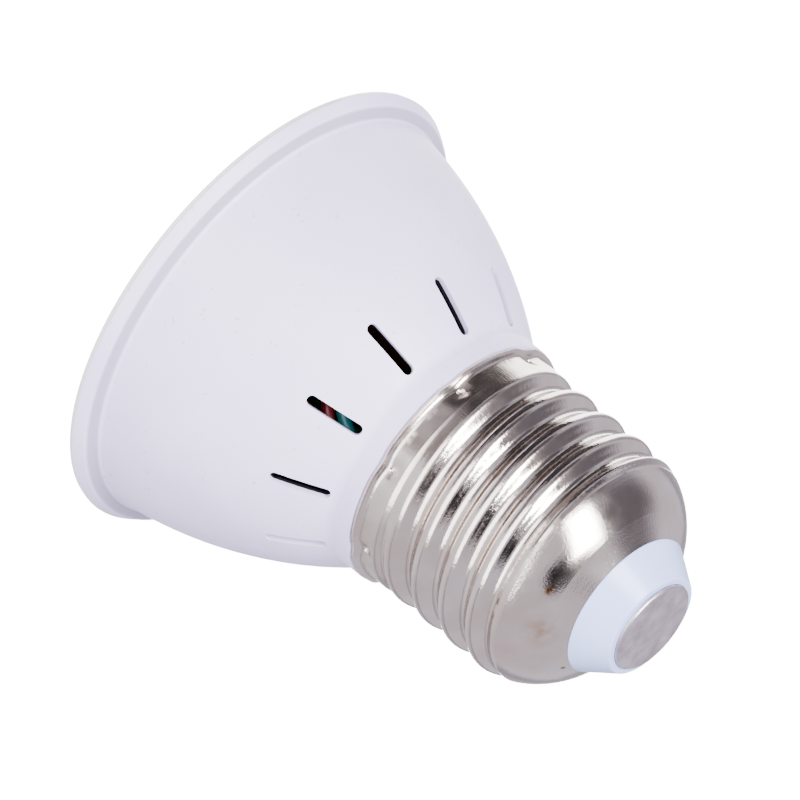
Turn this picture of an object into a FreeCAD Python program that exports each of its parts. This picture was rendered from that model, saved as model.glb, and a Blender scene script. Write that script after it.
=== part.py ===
import FreeCAD, Part
import math
import os

from FreeCAD import Vector

# A cup-shaped LED grow light bulb with an Edison screw cap.
# It stands on its clear front cover with the cap up, the Z axis is the bulb's own axis.

# Overall sizes
bulb_length = 53.8
rim_diameter = 49.5
cap_length = 27.0

# Moulded cup
cup_wall = 1.0
rim_wall_height = 1.05
rim_wall_draft = 0.65
rim_edge_rounding = 0.35
rim_step_height = 0.6
rim_flange_width = 2.0
bowl_curve_radius = 47.0
neck_overhang = 0.65
neck_height = 2.4
neck_rounding = 1.5
step_rounding = 0.5
pocket_depth = 4.3
pocket_wall = 3.35
board_ledge_width = 1.0
board_ledge_thickness = 0.8

# Spigot of the cup inside the cap
spigot_top_depth = 14.9
spigot_wall = 1.2
spigot_shoulder_length = 2.6
spigot_taper_length = 1.0
spigot_clearance = 0.15
skirt_clearance = 0.07
wire_groove_radius = 0.32
wire_groove_length = 7.1
wire_gap = 0.05

# Vents
vent_count = 12
vent_length = 6.1
vent_width = 1.1
vent_drop = 5.35
vent_reach = 6.0

# Rolled screw cap
sheet_thickness = 0.3
thread_pitch = 25.4 / 7
thread_crest_radius = 13.1
thread_root_radius = 12.05
thread_rounding = 1.025
thread_phase = 5.03
thread_run_in = 1.9
thread_run_out = 1.7
thread_top_depth = 8.7
skirt_length = 2.7
thread_columns = 56
thread_rows = 60
fit_rounds = 30
outline_step = 0.28
slope_step = 0.01
skirt_radius = 13.05
lip_radius = 13.62
lip_bend_radius = 0.6
lip_bend_angle = 68.0
lip_gap = 0.12
crown_edge_radius = 7.65
crown_edge_depth = 3.75
crown_cone_radius = 9.75
crown_cone_depth = 5.3
crown_end_radius = 12.45
crown_curve_radius = 9.3

# Punch marks that lock the cap on the cup
punch_count = 8
punch_first_angle = 5.5
punch_rise = 1.4
punch_radius = 0.45
punch_offset = 0.2
punch_clearance = 0.06
dimple_depth = 0.35
dimple_width = 1.8
dimple_tail = 3.2
dimple_recess_radius = 3.6
dimple_clearance = 0.12

# Insulator and centre contact
contact_radius = 4.8
contact_thickness = 0.6
contact_proud = 0.35
contact_edge = 0.12
shank_radius = 1.5
shank_length = 7.0
shank_bore_radius = 0.4
shank_bore_depth = 4.2
wire_end_rise = 3.0
insulator_tip_radius = 5.5
insulator_tip_rounding = 0.25
insulator_gap = 0.05
insulator_flange_radius = 8.7
insulator_floor_depth = 6.4
insulator_boss_radius = 3.4
insulator_boss_depth = 7.4

# Clear front cover
cover_thickness = 1.0
cover_flange_thickness = 0.6
cover_flange_inset = 0.1
cover_edge_rounding = 0.25
cover_skirt_wall = 1.0
cover_clearance = 0.15
board_hold_gap = 0.1
snap_bead_radius = 0.25
snap_bead_height = 2.3
snap_gap = 0.1

# LED board
board_thickness = 1.2
board_clearance = 0.2
led_length = 3.5
led_width = 2.8
led_height = 0.75
led_window_length = 2.6
led_window_width = 1.9
led_window_depth = 0.15
led_edge_margin = 3.0
led_ring_count = 4
first_ring_count = 6
first_ring_radius = 5.6
blue_led_cycle = 4

# Driver board, standing in the neck
driver_thickness = 1.0
driver_edge_gap = 1.1
driver_offset = 1.5
driver_foot_rise = 4.1
driver_head = 1.1
driver_hole_gap = 0.1
rail_width = 0.9
rail_length = 8.5
rail_gap = 0.07
rail_overlap = 0.7
joint_base_radius = 0.9
joint_tip_radius = 0.5
joint_height = 0.7
joint_gap = 0.02
lead_radius = 0.3
lead_bend_radius = 0.7
lead_tail = 0.8
part_stand_off = 0.3

# Driver parts
film_rise = 2.6
film_fuse_gap = 2.5
film_neck_gap = 4.3
film_height = 13.0
film_width = 6.5
film_rounding = 1.2
film_lead_inset = 2.5
drum_diameter = 8.0
drum_rise = 4.6
drum_bridge_gap = 6.5
drum_neck_gap = 3.3
drum_side = 4.6
drum_lead_pitch = 3.5
drum_groove_depth = 0.35
drum_groove_width = 1.0
drum_groove_height = 2.2
bridge_length = 5.0
bridge_width = 4.0
bridge_height = 2.4
bridge_side = 4.0
bridge_depth = 10.0
bridge_lift = 0.15
bridge_leg_width = 0.6
bridge_leg_thickness = 0.25
bridge_leg_reach = 1.1
bridge_leg_pitch = 2.54
fuse_diameter = 3.2
fuse_length = 9.0
fuse_side = -1.5
fuse_depth = 15.0
sleeve_wall = 0.3
sleeve_gap = 0.05
sleeve_overhang = 1.0
bleeder_diameter = 2.4
bleeder_length = 6.5
bleeder_side = 5.8
bleeder_depth = 12.5
discharger_side = -4.6
discharger_rise = 7.1
resistor_end_swell = 0.15
resistor_cap_length = 1.5
resistor_lead_length = 1.3

# Insulated wires
wire_radius = 0.65
strand_radius = 0.25
strip_length = 1.0
board_strip_length = 2.3
contact_strip_length = 3.4
groove_strip_length = 8.2
bend_share = 0.45
led_wire_rise = 4.6
led_wire_wall_gap = 1.72
led_wire_ledge_gap = 1.9
led_wire_side_share = 0.678
led_wire_spacing = 2.45
led_wire_neck_gap = 1.2

# How far cutters reach past what they cut, and how near two sizes count as the same
overshoot = 1.0
match = 0.01

AXIS = Vector(0, 0, 1)
ORIGIN = Vector(0, 0, 0)

# Heights that follow from the sizes above
rim_radius = rim_diameter / 2
collar_height = bulb_length - cap_length
cup_bottom = cover_flange_thickness
ledge_height = cup_bottom + pocket_depth
board_front = ledge_height - board_thickness
spigot_top = bulb_length - spigot_top_depth
bowl_base_radius = rim_radius - rim_flange_width
neck_radius = skirt_radius + neck_overhang
pocket_radius = rim_radius - pocket_wall
plug_radius = pocket_radius - cover_clearance
board_radius = pocket_radius - board_clearance
vent_height = collar_height - vent_drop
thread_top = bulb_length - thread_top_depth
skirt_top = collar_height + skirt_length
punch_height = collar_height + punch_rise
led_ring_pitch = (board_radius - led_edge_margin - first_ring_radius) / (led_ring_count - 1)
spigot_radius = thread_root_radius - sheet_thickness - spigot_clearance
shoulder_radius = skirt_radius - sheet_thickness - skirt_clearance
spigot_bore = spigot_radius - spigot_wall
neck_bore = shoulder_radius - spigot_wall
driver_face = driver_offset - driver_thickness / 2
driver_back = driver_offset + driver_thickness / 2
driver_width = 2 * (spigot_bore - driver_edge_gap)
driver_bottom = ledge_height + driver_foot_rise
driver_top = spigot_top + driver_head
fuse_bottom = driver_top - fuse_depth
bleeder_bottom = driver_top - bleeder_depth
bridge_level = driver_top - bridge_depth
discharger_bottom = ledge_height + discharger_rise
film_bottom = ledge_height + film_rise
film_length = min(fuse_bottom - film_fuse_gap, collar_height - film_neck_gap) - film_bottom
drum_bottom = ledge_height + drum_rise
drum_length = min(bridge_level - drum_bridge_gap, collar_height - drum_neck_gap) - drum_bottom
groove_centre = thread_root_radius - sheet_thickness - wire_gap - strand_radius


def at(radius, height, angle=0.0):
    """Gives the point at a radius, height and angle in degrees."""
    turn = math.radians(angle)
    return Vector(radius * math.cos(turn), radius * math.sin(turn), height)


def run(*points):
    """Joins points by straight edges."""
    return [Part.LineSegment(a, b).toShape() for a, b in zip(points, points[1:])]


def bow(start, end, radius, side=1):
    """Makes an arc of a given radius in the XZ plane, bulging away from the axis or towards it."""
    chord = end - start
    sag = abs(radius) - math.sqrt(radius * radius - chord.Length * chord.Length / 4)
    across = Vector(chord.z, 0, -chord.x).normalize()
    if across.x < 0:
        across = across * -1
    middle = (start + end) * 0.5 + across * (sag * side)
    return [Part.Arc(start, middle, end).toShape()]


def turned(edges):
    """Turns a closed outline in the XZ plane into a round solid."""
    return Part.Face(Part.Wire(edges)).revolve(ORIGIN, AXIS, 360)


def edges_at(shape, radius, height):
    """Finds the circular edges of a radius at a height."""
    found = []
    for edge in shape.Edges:
        curve = edge.Curve
        if isinstance(curve, Part.Circle):
            same_size = abs(curve.Radius - radius) < match
            if same_size and abs(curve.Center.z - height) < match:
                found.append(edge)
    return found


def around(shape, count, first=0.0):
    """Repeats a shape around the axis."""
    copies = []
    for index in range(count):
        copy = shape.copy()
        copy.rotate(ORIGIN, AXIS, first + 360.0 * index / count)
        copies.append(copy)
    return copies


def tube_along(edges, radius):
    """Sweeps a disc along joined edges."""
    path = Part.Wire(edges)
    start = edges[0].valueAt(edges[0].FirstParameter)
    heading = edges[0].tangentAt(edges[0].FirstParameter)
    ring = Part.Wire(Part.makeCircle(radius, start, heading))
    return path.makePipeShell([ring], True, False)


def route(points):
    """Joins straight runs by tangent arcs, as large as the shorter run allows."""
    edges = []
    here = points[0]
    for before, corner, after in zip(points, points[1:], points[2:]):
        arriving = (corner - before).normalize()
        leaving = (after - corner).normalize()
        turn = arriving.getAngle(leaving)
        reach = bend_share * min((corner - before).Length, (after - corner).Length)
        radius = reach / math.tan(turn / 2)
        arc_start = corner - arriving * reach
        arc_end = corner + leaving * reach
        to_middle = (leaving - arriving).normalize()
        centre_gap = radius / math.cos(turn / 2)
        arc_middle = corner + to_middle * (centre_gap - radius)
        edges += run(here, arc_start)
        edges.append(Part.Arc(arc_start, arc_middle, arc_end).toShape())
        here = arc_end
    edges += run(here, points[-1])
    return edges


def stripped_wire(points, bare_start, bare_end):
    """Makes an insulated wire whose two ends are bare."""
    strand = route(points)
    first = points[0] + (points[1] - points[0]).normalize() * bare_start
    last = points[-1] + (points[-2] - points[-1]).normalize() * bare_end
    first_end = strand[0].valueAt(strand[0].LastParameter)
    last_start = strand[-1].valueAt(strand[-1].FirstParameter)
    cover = run(first, first_end) + strand[1:-1] + run(last_start, last)
    return tube_along(cover, wire_radius).fuse(tube_along(strand, strand_radius)).removeSplitter()


def bowl_edges(offset):
    """Gives the centre and radius of the bowl's curve and the point on it at a height, moved inwards."""
    low = Vector(bowl_base_radius, 0, cup_bottom + rim_wall_height + rim_step_height)
    high = Vector(neck_radius, 0, collar_height - neck_height)
    chord = high - low
    across = Vector(chord.z, 0, -chord.x).normalize()
    centre = (low + high) * 0.5 - across * math.sqrt(bowl_curve_radius ** 2 - chord.Length ** 2 / 4)
    radius = bowl_curve_radius - offset

    def on_curve(height):
        return Vector(centre.x + math.sqrt(radius ** 2 - (height - centre.z) ** 2), 0, height)

    return centre, radius, on_curve


def bowl_arc(offset, low, high):
    """Makes the stretch of the bowl's curve between two heights."""
    on_curve = bowl_edges(offset)[2]
    return [Part.Arc(on_curve(low), on_curve((low + high) / 2), on_curve(high)).toShape()]


def cup_outside():
    """Makes the solid that the cup's outer surface bounds."""
    step_base = cup_bottom + rim_wall_height + rim_step_height
    neck_base = collar_height - neck_height
    on_curve = bowl_edges(0)[2]
    rim_top = Vector(rim_radius - rim_wall_draft, 0, cup_bottom + rim_wall_height)
    edges = run(Vector(0, 0, cup_bottom), Vector(rim_radius, 0, cup_bottom), rim_top, on_curve(step_base))
    edges += bowl_arc(0, step_base, neck_base)
    shoulder_top = collar_height + spigot_shoulder_length
    edges += run(
        on_curve(neck_base),
        Vector(neck_radius, 0, collar_height),
        Vector(shoulder_radius, 0, collar_height),
        Vector(shoulder_radius, 0, shoulder_top),
        Vector(spigot_radius, 0, shoulder_top + spigot_taper_length),
        Vector(spigot_radius, 0, spigot_top),
        Vector(0, 0, spigot_top),
        Vector(0, 0, cup_bottom),
    )
    body = turned(edges)
    body = body.makeFillet(rim_edge_rounding, edges_at(body, rim_top.x, rim_top.z))
    body = body.makeFillet(step_rounding, edges_at(body, on_curve(step_base).x, step_base))
    return body.makeFillet(neck_rounding, edges_at(body, neck_radius, neck_base))


def cup_inside():
    """Makes the space inside the cup: pocket, ledge, bowl and bore."""
    pocket = pocket_radius
    ledge = pocket - board_ledge_width
    ledge_top = ledge_height + board_ledge_thickness
    on_curve = bowl_edges(cup_wall)[2]
    centre, radius = bowl_edges(cup_wall)[:2]
    neck_inside = centre.z + math.sqrt(radius ** 2 - (neck_bore - centre.x) ** 2)
    bore_step = collar_height + spigot_shoulder_length + spigot_taper_length / 2
    edges = run(
        Vector(0, 0, cup_bottom - overshoot),
        Vector(pocket, 0, cup_bottom - overshoot),
        Vector(pocket, 0, ledge_height),
        Vector(ledge, 0, ledge_height),
        Vector(ledge, 0, ledge_top),
        on_curve(ledge_top),
    )
    edges += bowl_arc(cup_wall, ledge_top, neck_inside)
    edges += run(
        on_curve(neck_inside),
        Vector(neck_bore, 0, bore_step),
        Vector(spigot_bore, 0, bore_step + spigot_taper_length),
        Vector(spigot_bore, 0, spigot_top + overshoot),
        Vector(0, 0, spigot_top + overshoot),
        Vector(0, 0, cup_bottom - overshoot),
    )
    return turned(edges)


def slot_block(length, width, depth):
    """Makes a flat block with rounded ends, lying along X and centred, as deep as given along Z."""
    half = (length - width) / 2
    radius = width / 2
    left = Vector(-half, 0, 0)
    right = Vector(half, 0, 0)
    ahead = Vector(radius, 0, 0)
    aside = Vector(0, radius, 0)
    edges = run(right + aside * -1, left + aside * -1)
    edges.append(Part.Arc(left + aside * -1, left + ahead * -1, left + aside).toShape())
    edges += run(left + aside, right + aside)
    edges.append(Part.Arc(right + aside, right + ahead, right + aside * -1).toShape())
    block = Part.Face(Part.Wire(edges)).extrude(Vector(0, 0, depth))
    block.translate(Vector(0, 0, -depth / 2))
    return block


def vent_cutters():
    """Makes the cutters of the vents, each square to the bowl at its own middle."""
    centre, radius, on_curve = bowl_edges(0)
    middle = on_curve(vent_height)
    lean = math.degrees(math.atan2(middle.z - centre.z, middle.x - centre.x))
    block = slot_block(vent_length, vent_width, vent_reach)
    block.rotate(ORIGIN, Vector(0, 1, 0), 90 - lean)
    block.translate(middle)
    return around(block, vent_count)


def punch_ball(radius):
    """Makes the ball of a punch mark on the X axis, at the bottom of its dimple."""
    return Part.makeSphere(radius, Vector(skirt_radius - dimple_depth + punch_offset, 0, punch_height))


def dimple_recess():
    """Makes the part of a wide ball that clears one dimple in the cup's shoulder above the neck."""
    deepest = skirt_radius - sheet_thickness - dimple_depth - dimple_clearance
    ball = Part.makeSphere(dimple_recess_radius, Vector(deepest + dimple_recess_radius, 0, punch_height))
    return ball.common(Part.makeCylinder(neck_radius + overshoot, cap_length, Vector(0, 0, collar_height)))


def lamp_cup():
    """Makes the moulded cup with its rim, vents, neck and spigot."""
    cup = cup_outside().cut(cup_inside())
    cup = cup.cut(Part.makeTorus(plug_radius, snap_bead_radius + snap_gap, Vector(0, 0, snap_bead_height)))
    cup = cup.cut(vent_cutters())
    for recess in (dimple_recess(), punch_ball(punch_radius + sheet_thickness + punch_clearance)):
        cup = cup.cut(around(recess, punch_count, punch_first_angle))
    low = spigot_top - wire_groove_length
    reach = wire_groove_length + overshoot
    groove = Part.makeCylinder(wire_groove_radius, reach, Vector(-groove_centre, 0, low))
    slot = Part.makeBox(overshoot, 2 * wire_groove_radius, reach,
                        Vector(-groove_centre - overshoot, -wire_groove_radius, low))
    cup = cup.cut([groove, slot])
    return cup.fuse(board_rails()).removeSplitter()


def board_rails():
    """Makes the two pairs of ribs that hold the driver board's edges."""
    rails = []
    low = spigot_top - rail_length
    reach = driver_width / 2 - rail_overlap
    for face in (driver_face - rail_gap - rail_width, driver_back + rail_gap):
        for side in (-1, 1):
            length = spigot_radius - reach
            corner = Vector(face, reach if side > 0 else -reach - length, low)
            rails.append(Part.makeBox(rail_width, length, rail_length, corner))
    keep = Part.makeCylinder(spigot_bore + spigot_wall / 2, rail_length, Vector(0, 0, low))
    return [rail.common(keep) for rail in rails]


def thread_wave(distance):
    """Gives the height above the thread's root at a distance from a crest line."""
    crest_centre = thread_crest_radius - thread_rounding
    root_centre = thread_root_radius + thread_rounding
    rise = root_centre - crest_centre
    half_pitch = thread_pitch / 2
    flank = math.asin(2 * thread_rounding / math.hypot(half_pitch, rise)) - math.atan2(rise, half_pitch)
    arc_width = thread_rounding * math.sin(flank)
    here = abs((distance + thread_pitch / 2) % thread_pitch - thread_pitch / 2)
    to_root = thread_pitch / 2 - here
    if here <= arc_width:
        return crest_centre + math.sqrt(thread_rounding ** 2 - here ** 2) - thread_root_radius
    if to_root <= arc_width:
        return thread_rounding - math.sqrt(thread_rounding ** 2 - to_root ** 2)
    drop = thread_rounding * (1 - math.cos(flank))
    top = thread_crest_radius - drop - thread_root_radius
    share = (here - arc_width) / (thread_pitch / 2 - 2 * arc_width)
    return top + (drop - top) * share


def ease(value):
    """Rises smoothly from nought to one."""
    value = min(1.0, max(0.0, value))
    return value * value * (3 - 2 * value)


def thread_radius(angle, height):
    """Gives the outer radius of the rolled thread, which fades into the plain ends."""
    crest = collar_height + thread_phase + thread_pitch * angle / 360
    wave = thread_root_radius + thread_wave(height - crest)
    low = skirt_radius + (wave - skirt_radius) * ease((height - skirt_top) / thread_run_out)
    return crown_end_radius + (low - crown_end_radius) * ease((thread_top - height) / thread_run_in)


def fit_round(row):
    """Moves a ring of poles outwards until its smooth closed curve passes through the ring's points."""
    poles = list(row)
    for attempt in range(fit_rounds):
        reached = []
        for before, here, after in zip(poles[-1:] + poles, poles, poles[1:] + poles[:1]):
            reached.append((before + here * 4 + after) * (1 / 6))
        poles = [pole + point - got for pole, point, got in zip(poles, row, reached)]
    return poles


def face_through(grid):
    """Makes a smooth closed face through columns of points, spread evenly round the axis."""
    count = len(grid)
    columns = []
    for column in grid:
        curve = Part.BSplineCurve()
        curve.interpolate(Points=column, Parameters=list(range(len(column))))
        columns.append(curve.getPoles())
    rings = [fit_round(list(ring)) for ring in zip(*columns)]
    poles = [list(column) for column in zip(*rings)]
    surface = Part.BSplineSurface()
    surface.buildFromPolesMultsKnots(poles, [1] * (count + 1), curve.getMultiplicities(),
                                     list(range(count + 1)), curve.getKnots(), True, False, 3, 3)
    return surface.toShape()


def round_angles():
    """Gives the angles of the columns, one of them on each punch mark."""
    return [punch_first_angle + 360.0 * column / thread_columns for column in range(thread_columns)]


def outline_points(edges):
    """Gives evenly spread points along an open outline."""
    points = [edges[0].valueAt(edges[0].FirstParameter)]
    for edge in edges:
        points += edge.discretize(3 + round(edge.Length / outline_step))[1:]
    return points


def round_face(edges):
    """Makes a round face of the sheet from its outline, on the same columns as the thread."""
    outline = outline_points(edges)
    return face_through([[at(point.x, point.z, angle) for point in outline] for angle in round_angles()])


def dimple(angle, height):
    """Gives how far the skirt and the lip are pressed in around the nearest punch mark."""
    spacing = 360 / punch_count
    off_mark = (angle - punch_first_angle + spacing / 2) % spacing - spacing / 2
    across = skirt_radius * math.radians(off_mark) / dimple_width
    rise = height - punch_height
    along = rise / (skirt_top - punch_height) if rise > 0 else rise / dimple_tail
    share = min(1.0, math.hypot(across, along))
    return dimple_depth * (1 + math.cos(math.pi * share)) / 2


def dimpled_face(edges):
    """Makes a face of the sheet from its outline, pressed in at the punch marks."""
    outline = outline_points(edges)
    grid = []
    for angle in round_angles():
        grid.append([at(point.x - dimple(angle, point.z), point.z, angle) for point in outline])
    return face_through(grid)


def lip_edges(inset):
    """Makes the outline of the skirt and of its flared lip, moved inwards by the sheet's thickness."""
    radius = lip_bend_radius + inset
    turn = math.radians(lip_bend_angle)
    centre = Vector(skirt_radius + lip_bend_radius, 0, 0)
    bend_out = lip_radius - (centre.x - lip_bend_radius * math.cos(turn))
    drop = bend_out / math.tan(turn)
    lowest = (lip_bend_radius + sheet_thickness) * math.sin(turn) + drop
    centre.z = collar_height + lip_gap + lowest
    start = centre - Vector(radius, 0, 0)
    middle = centre - Vector(radius * math.cos(turn / 2), 0, radius * math.sin(turn / 2))
    end = centre - Vector(radius * math.cos(turn), 0, radius * math.sin(turn))
    edges = run(Vector(skirt_radius - inset, 0, skirt_top), start)
    edges.append(Part.Arc(start, middle, end).toShape())
    return edges + run(end, end + Vector(bend_out, 0, -drop))


def lip_end_face(outer, inner):
    """Makes the narrow edge of the lip between the sheet's two faces."""
    grid = []
    for angle in round_angles():
        start = at(outer.x - dimple(angle, outer.z), outer.z, angle)
        stop = at(inner.x - dimple(angle, inner.z), inner.z, angle)
        grid.append([start + (stop - start) * (share / 4) for share in range(5)])
    return face_through(grid)


def thread_face(inset):
    """Makes one face of the rolled thread, moved inwards by the sheet's thickness."""
    grid = []
    for angle in round_angles():
        column = []
        for row in range(thread_rows + 1):
            height = skirt_top + (thread_top - skirt_top) * row / thread_rows
            rise = thread_radius(angle, height + slope_step) - thread_radius(angle, height - slope_step)
            slope = 0.0 if row in (0, thread_rows) else rise / (2 * slope_step)
            column.append(at(thread_radius(angle, height) - inset * math.sqrt(1 + slope ** 2), height, angle))
        grid.append(column)
    return face_through(grid)


def crown_points(inset):
    """Gives the three corners of the crown's outline, moved inwards by the sheet's thickness."""
    edge = Vector(crown_edge_radius, 0, bulb_length - crown_edge_depth)
    cone = Vector(crown_cone_radius, 0, bulb_length - crown_cone_depth)
    end = Vector(crown_end_radius - inset, 0, thread_top)
    slant = cone - edge
    inwards = Vector(slant.z, 0, -slant.x).normalize() * inset
    return edge + inwards, cone + inwards, end


def screw_cap_shell():
    """Makes the rolled cap as one thin sheet: crown, Edison thread, skirt, lip and punch marks."""
    faces = []
    top_rings = []
    lip_rings = []
    for inset in (0.0, sheet_thickness):
        edge, cone, end = crown_points(inset)
        lip = lip_edges(inset)
        faces.append(round_face(run(edge, cone)))
        faces.append(round_face(bow(cone, end, crown_curve_radius - inset)))
        faces.append(thread_face(inset))
        faces.append(dimpled_face(lip))
        top_rings.append(edge)
        lip_rings.append(lip[-1].valueAt(lip[-1].LastParameter))
    faces.append(round_face(run(*top_rings)))
    faces.append(lip_end_face(*lip_rings))
    shell = Part.makeShell(faces)
    shell.sewShape()
    cap = Part.Solid(shell.Shells[0])
    if cap.Volume < 0:
        cap.reverse()
    sheet_middle = skirt_radius - dimple_depth - sheet_thickness / 2
    keep = Part.makeCylinder(sheet_middle, cap_length, Vector(0, 0, collar_height))
    bump = punch_ball(punch_radius + sheet_thickness).common(keep)
    cap = cap.fuse(around(bump, punch_count, punch_first_angle))
    cap = cap.cut(around(punch_ball(punch_radius), punch_count, punch_first_angle))
    return cap.removeSplitter()


def cap_insulator():
    """Makes the white insulator between the screw cap and the centre contact."""
    edge, cone, end = crown_points(sheet_thickness + insulator_gap)
    tip = bulb_length - contact_proud
    seat = bulb_length - contact_thickness
    base = Vector(crown_edge_radius, 0, bulb_length - crown_edge_depth + insulator_gap)
    slope = (cone.z - edge.z) / (cone.x - edge.x)
    flange = Vector(insulator_flange_radius, 0, edge.z + slope * (insulator_flange_radius - edge.x))
    floor_height = bulb_length - insulator_floor_depth
    boss_height = bulb_length - insulator_boss_depth
    hole = shank_radius + insulator_gap
    recess = contact_radius + insulator_gap
    edges = run(
        Vector(edge.x, 0, base.z),
        base,
        Vector(insulator_tip_radius, 0, tip),
        Vector(recess, 0, tip),
        Vector(recess, 0, seat),
        Vector(hole, 0, seat),
        Vector(hole, 0, boss_height),
        Vector(insulator_boss_radius, 0, boss_height),
        Vector(insulator_boss_radius, 0, floor_height),
        Vector(insulator_flange_radius, 0, floor_height),
        flange,
        edge,
        Vector(edge.x, 0, base.z),
    )
    body = turned(edges)
    return body.makeFillet(insulator_tip_rounding, edges_at(body, insulator_tip_radius, tip))


def centre_contact():
    """Makes the contact: a flat head with a hollow shank that takes the live wire."""
    seat = bulb_length - contact_thickness
    shank_end = bulb_length - contact_thickness - shank_length
    edge = contact_edge
    bore_end = shank_end + shank_bore_depth
    edges = run(
        Vector(0, 0, bulb_length),
        Vector(contact_radius - edge, 0, bulb_length),
        Vector(contact_radius, 0, bulb_length - edge),
        Vector(contact_radius, 0, seat),
        Vector(shank_radius, 0, seat),
        Vector(shank_radius, 0, shank_end),
        Vector(shank_bore_radius, 0, shank_end),
        Vector(shank_bore_radius, 0, bore_end),
        Vector(0, 0, bore_end),
        Vector(0, 0, bulb_length),
    )
    return turned(edges)


def front_cover():
    """Makes the clear cover with its flange on the rim and its snap skirt in the pocket."""
    flange = rim_radius - cover_flange_inset
    plug = plug_radius
    skirt_top = board_front - board_hold_gap
    edges = run(
        Vector(0, 0, 0),
        Vector(flange, 0, 0),
        Vector(flange, 0, cover_flange_thickness),
        Vector(plug, 0, cover_flange_thickness),
        Vector(plug, 0, skirt_top),
        Vector(plug - cover_skirt_wall, 0, skirt_top),
        Vector(plug - cover_skirt_wall, 0, cover_thickness),
        Vector(0, 0, cover_thickness),
        Vector(0, 0, 0),
    )
    cover = turned(edges)
    cover = cover.makeFillet(cover_edge_rounding, edges_at(cover, flange, 0))
    bead = Part.makeTorus(plug, snap_bead_radius, Vector(0, 0, snap_bead_height))
    return cover.fuse(bead).removeSplitter()


def led_board():
    """Makes the round board that carries the LEDs."""
    return Part.makeCylinder(board_radius, board_thickness, Vector(0, 0, board_front))


def led_package():
    """Makes one LED package at the origin, its window facing down and its back on the board."""
    corner = Vector(-led_width / 2, -led_length / 2, -led_height)
    body = Part.makeBox(led_width, led_length, led_height, corner)
    window = Part.makeBox(led_window_width, led_window_length, led_window_depth,
                          Vector(-led_window_width / 2, -led_window_length / 2, -led_height))
    return body.cut(window)


def led_groups():
    """Places the LEDs in rings, with a blue one at regular steps among the red."""
    red = []
    blue = []
    package = led_package()
    for ring in range(led_ring_count):
        radius = first_ring_radius + led_ring_pitch * ring
        count = first_ring_count * (ring + 1)
        for index in range(count):
            led = package.copy()
            led.translate(Vector(radius, 0, board_front))
            led.rotate(ORIGIN, AXIS, 360.0 * index / count)
            group = blue if (index + ring) % blue_led_cycle == 0 else red
            group.append(led)
    return Part.makeCompound(red), Part.makeCompound(blue)


def lead_out(side, height, start, length, towards):
    """Makes a straight lead that goes through the driver board along X."""
    return Part.makeCylinder(lead_radius, length, Vector(start, side, height), Vector(towards, 0, 0))


def bent_lead(level, side, body_end, up, height, towards):
    """Makes a lead that leaves a lying part along Z and turns through the driver board."""
    far = driver_back + lead_tail if towards > 0 else driver_face - lead_tail
    start = Vector(level, side, body_end)
    corner = Vector(level, side, height)
    arc_start = corner - Vector(0, 0, up * lead_bend_radius)
    arc_end = corner + Vector(towards * lead_bend_radius, 0, 0)
    share = lead_bend_radius * (1 - math.sqrt(0.5))
    middle = corner + Vector(towards * share, 0, -up * share)
    edges = run(start, arc_start)
    edges.append(Part.Arc(arc_start, middle, arc_end).toShape())
    edges += run(arc_end, Vector(far, side, height))
    return tube_along(edges, lead_radius)


def film_lead_heights():
    """Gives the heights of the film capacitor's two leads."""
    return film_bottom + film_lead_inset, film_bottom + film_length - film_lead_inset


def film_capacitor():
    """Makes the dipped film capacitor that stands on the board's face."""
    base = driver_face - part_stand_off
    corner = Vector(base - film_height, -film_width / 2, film_bottom)
    body = Part.makeBox(film_height, film_width, film_length, corner)
    body = body.makeFillet(film_rounding, body.Edges)
    leads = []
    for height in film_lead_heights():
        reach = driver_back + lead_tail - base + film_rounding
        leads.append(lead_out(0, height, base - film_rounding, reach, 1))
    return body.fuse(leads).removeSplitter()


def drum_lead_sides():
    """Gives the sideways places of the smoothing capacitor's two leads."""
    return drum_side - drum_lead_pitch / 2, drum_side + drum_lead_pitch / 2


def drum_lead_height():
    """Gives the height at which the smoothing capacitor's leads enter the board."""
    return drum_bottom + drum_length + 2 * lead_bend_radius


def smoothing_capacitor():
    """Makes the lying electrolytic capacitor with its rolled groove."""
    radius = drum_diameter / 2
    level = driver_back + part_stand_off + radius
    top = drum_bottom + drum_length
    half = drum_groove_width / 2
    middle = top - drum_groove_height
    low = Vector(radius, 0, middle - half)
    high = Vector(radius, 0, middle + half)
    dip = Vector(radius - drum_groove_depth, 0, middle)
    edges = run(Vector(0, 0, drum_bottom), Vector(radius, 0, drum_bottom), low)
    edges.append(Part.Arc(low, dip, high).toShape())
    edges += run(high, Vector(radius, 0, top), Vector(0, 0, top), Vector(0, 0, drum_bottom))
    body = turned(edges)
    rims = edges_at(body, radius, top) + edges_at(body, radius, drum_bottom)
    body = body.makeFillet(drum_groove_depth, rims)
    body.translate(Vector(level, drum_side, 0))
    leads = []
    for side in drum_lead_sides():
        leads.append(bent_lead(level, side, top - lead_radius, 1, drum_lead_height(), -1))
    return body.fuse(leads).removeSplitter()


def bridge_rectifier():
    """Makes the small rectifier with its four bent legs on the board's back."""
    foot = driver_back
    corner = Vector(foot + bridge_lift, bridge_side - bridge_width / 2, bridge_level - bridge_length / 2)
    body = Part.makeBox(bridge_height, bridge_width, bridge_length, corner)
    legs = []
    for side in (-1, 1):
        edge = bridge_side + side * bridge_width / 2
        for step in (-0.5, 0.5):
            middle = bridge_level + step * bridge_leg_pitch
            low = middle - bridge_leg_width / 2
            out = min(edge, edge + side * bridge_leg_reach)
            legs.append(Part.makeBox(bridge_leg_thickness, bridge_leg_reach, bridge_leg_width,
                                     Vector(foot, out, low)))
            stem = edge if side > 0 else edge - bridge_leg_thickness
            legs.append(Part.makeBox(bridge_height / 2, bridge_leg_thickness, bridge_leg_width,
                                     Vector(foot, stem, low)))
    return body.fuse(legs).removeSplitter()


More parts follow.
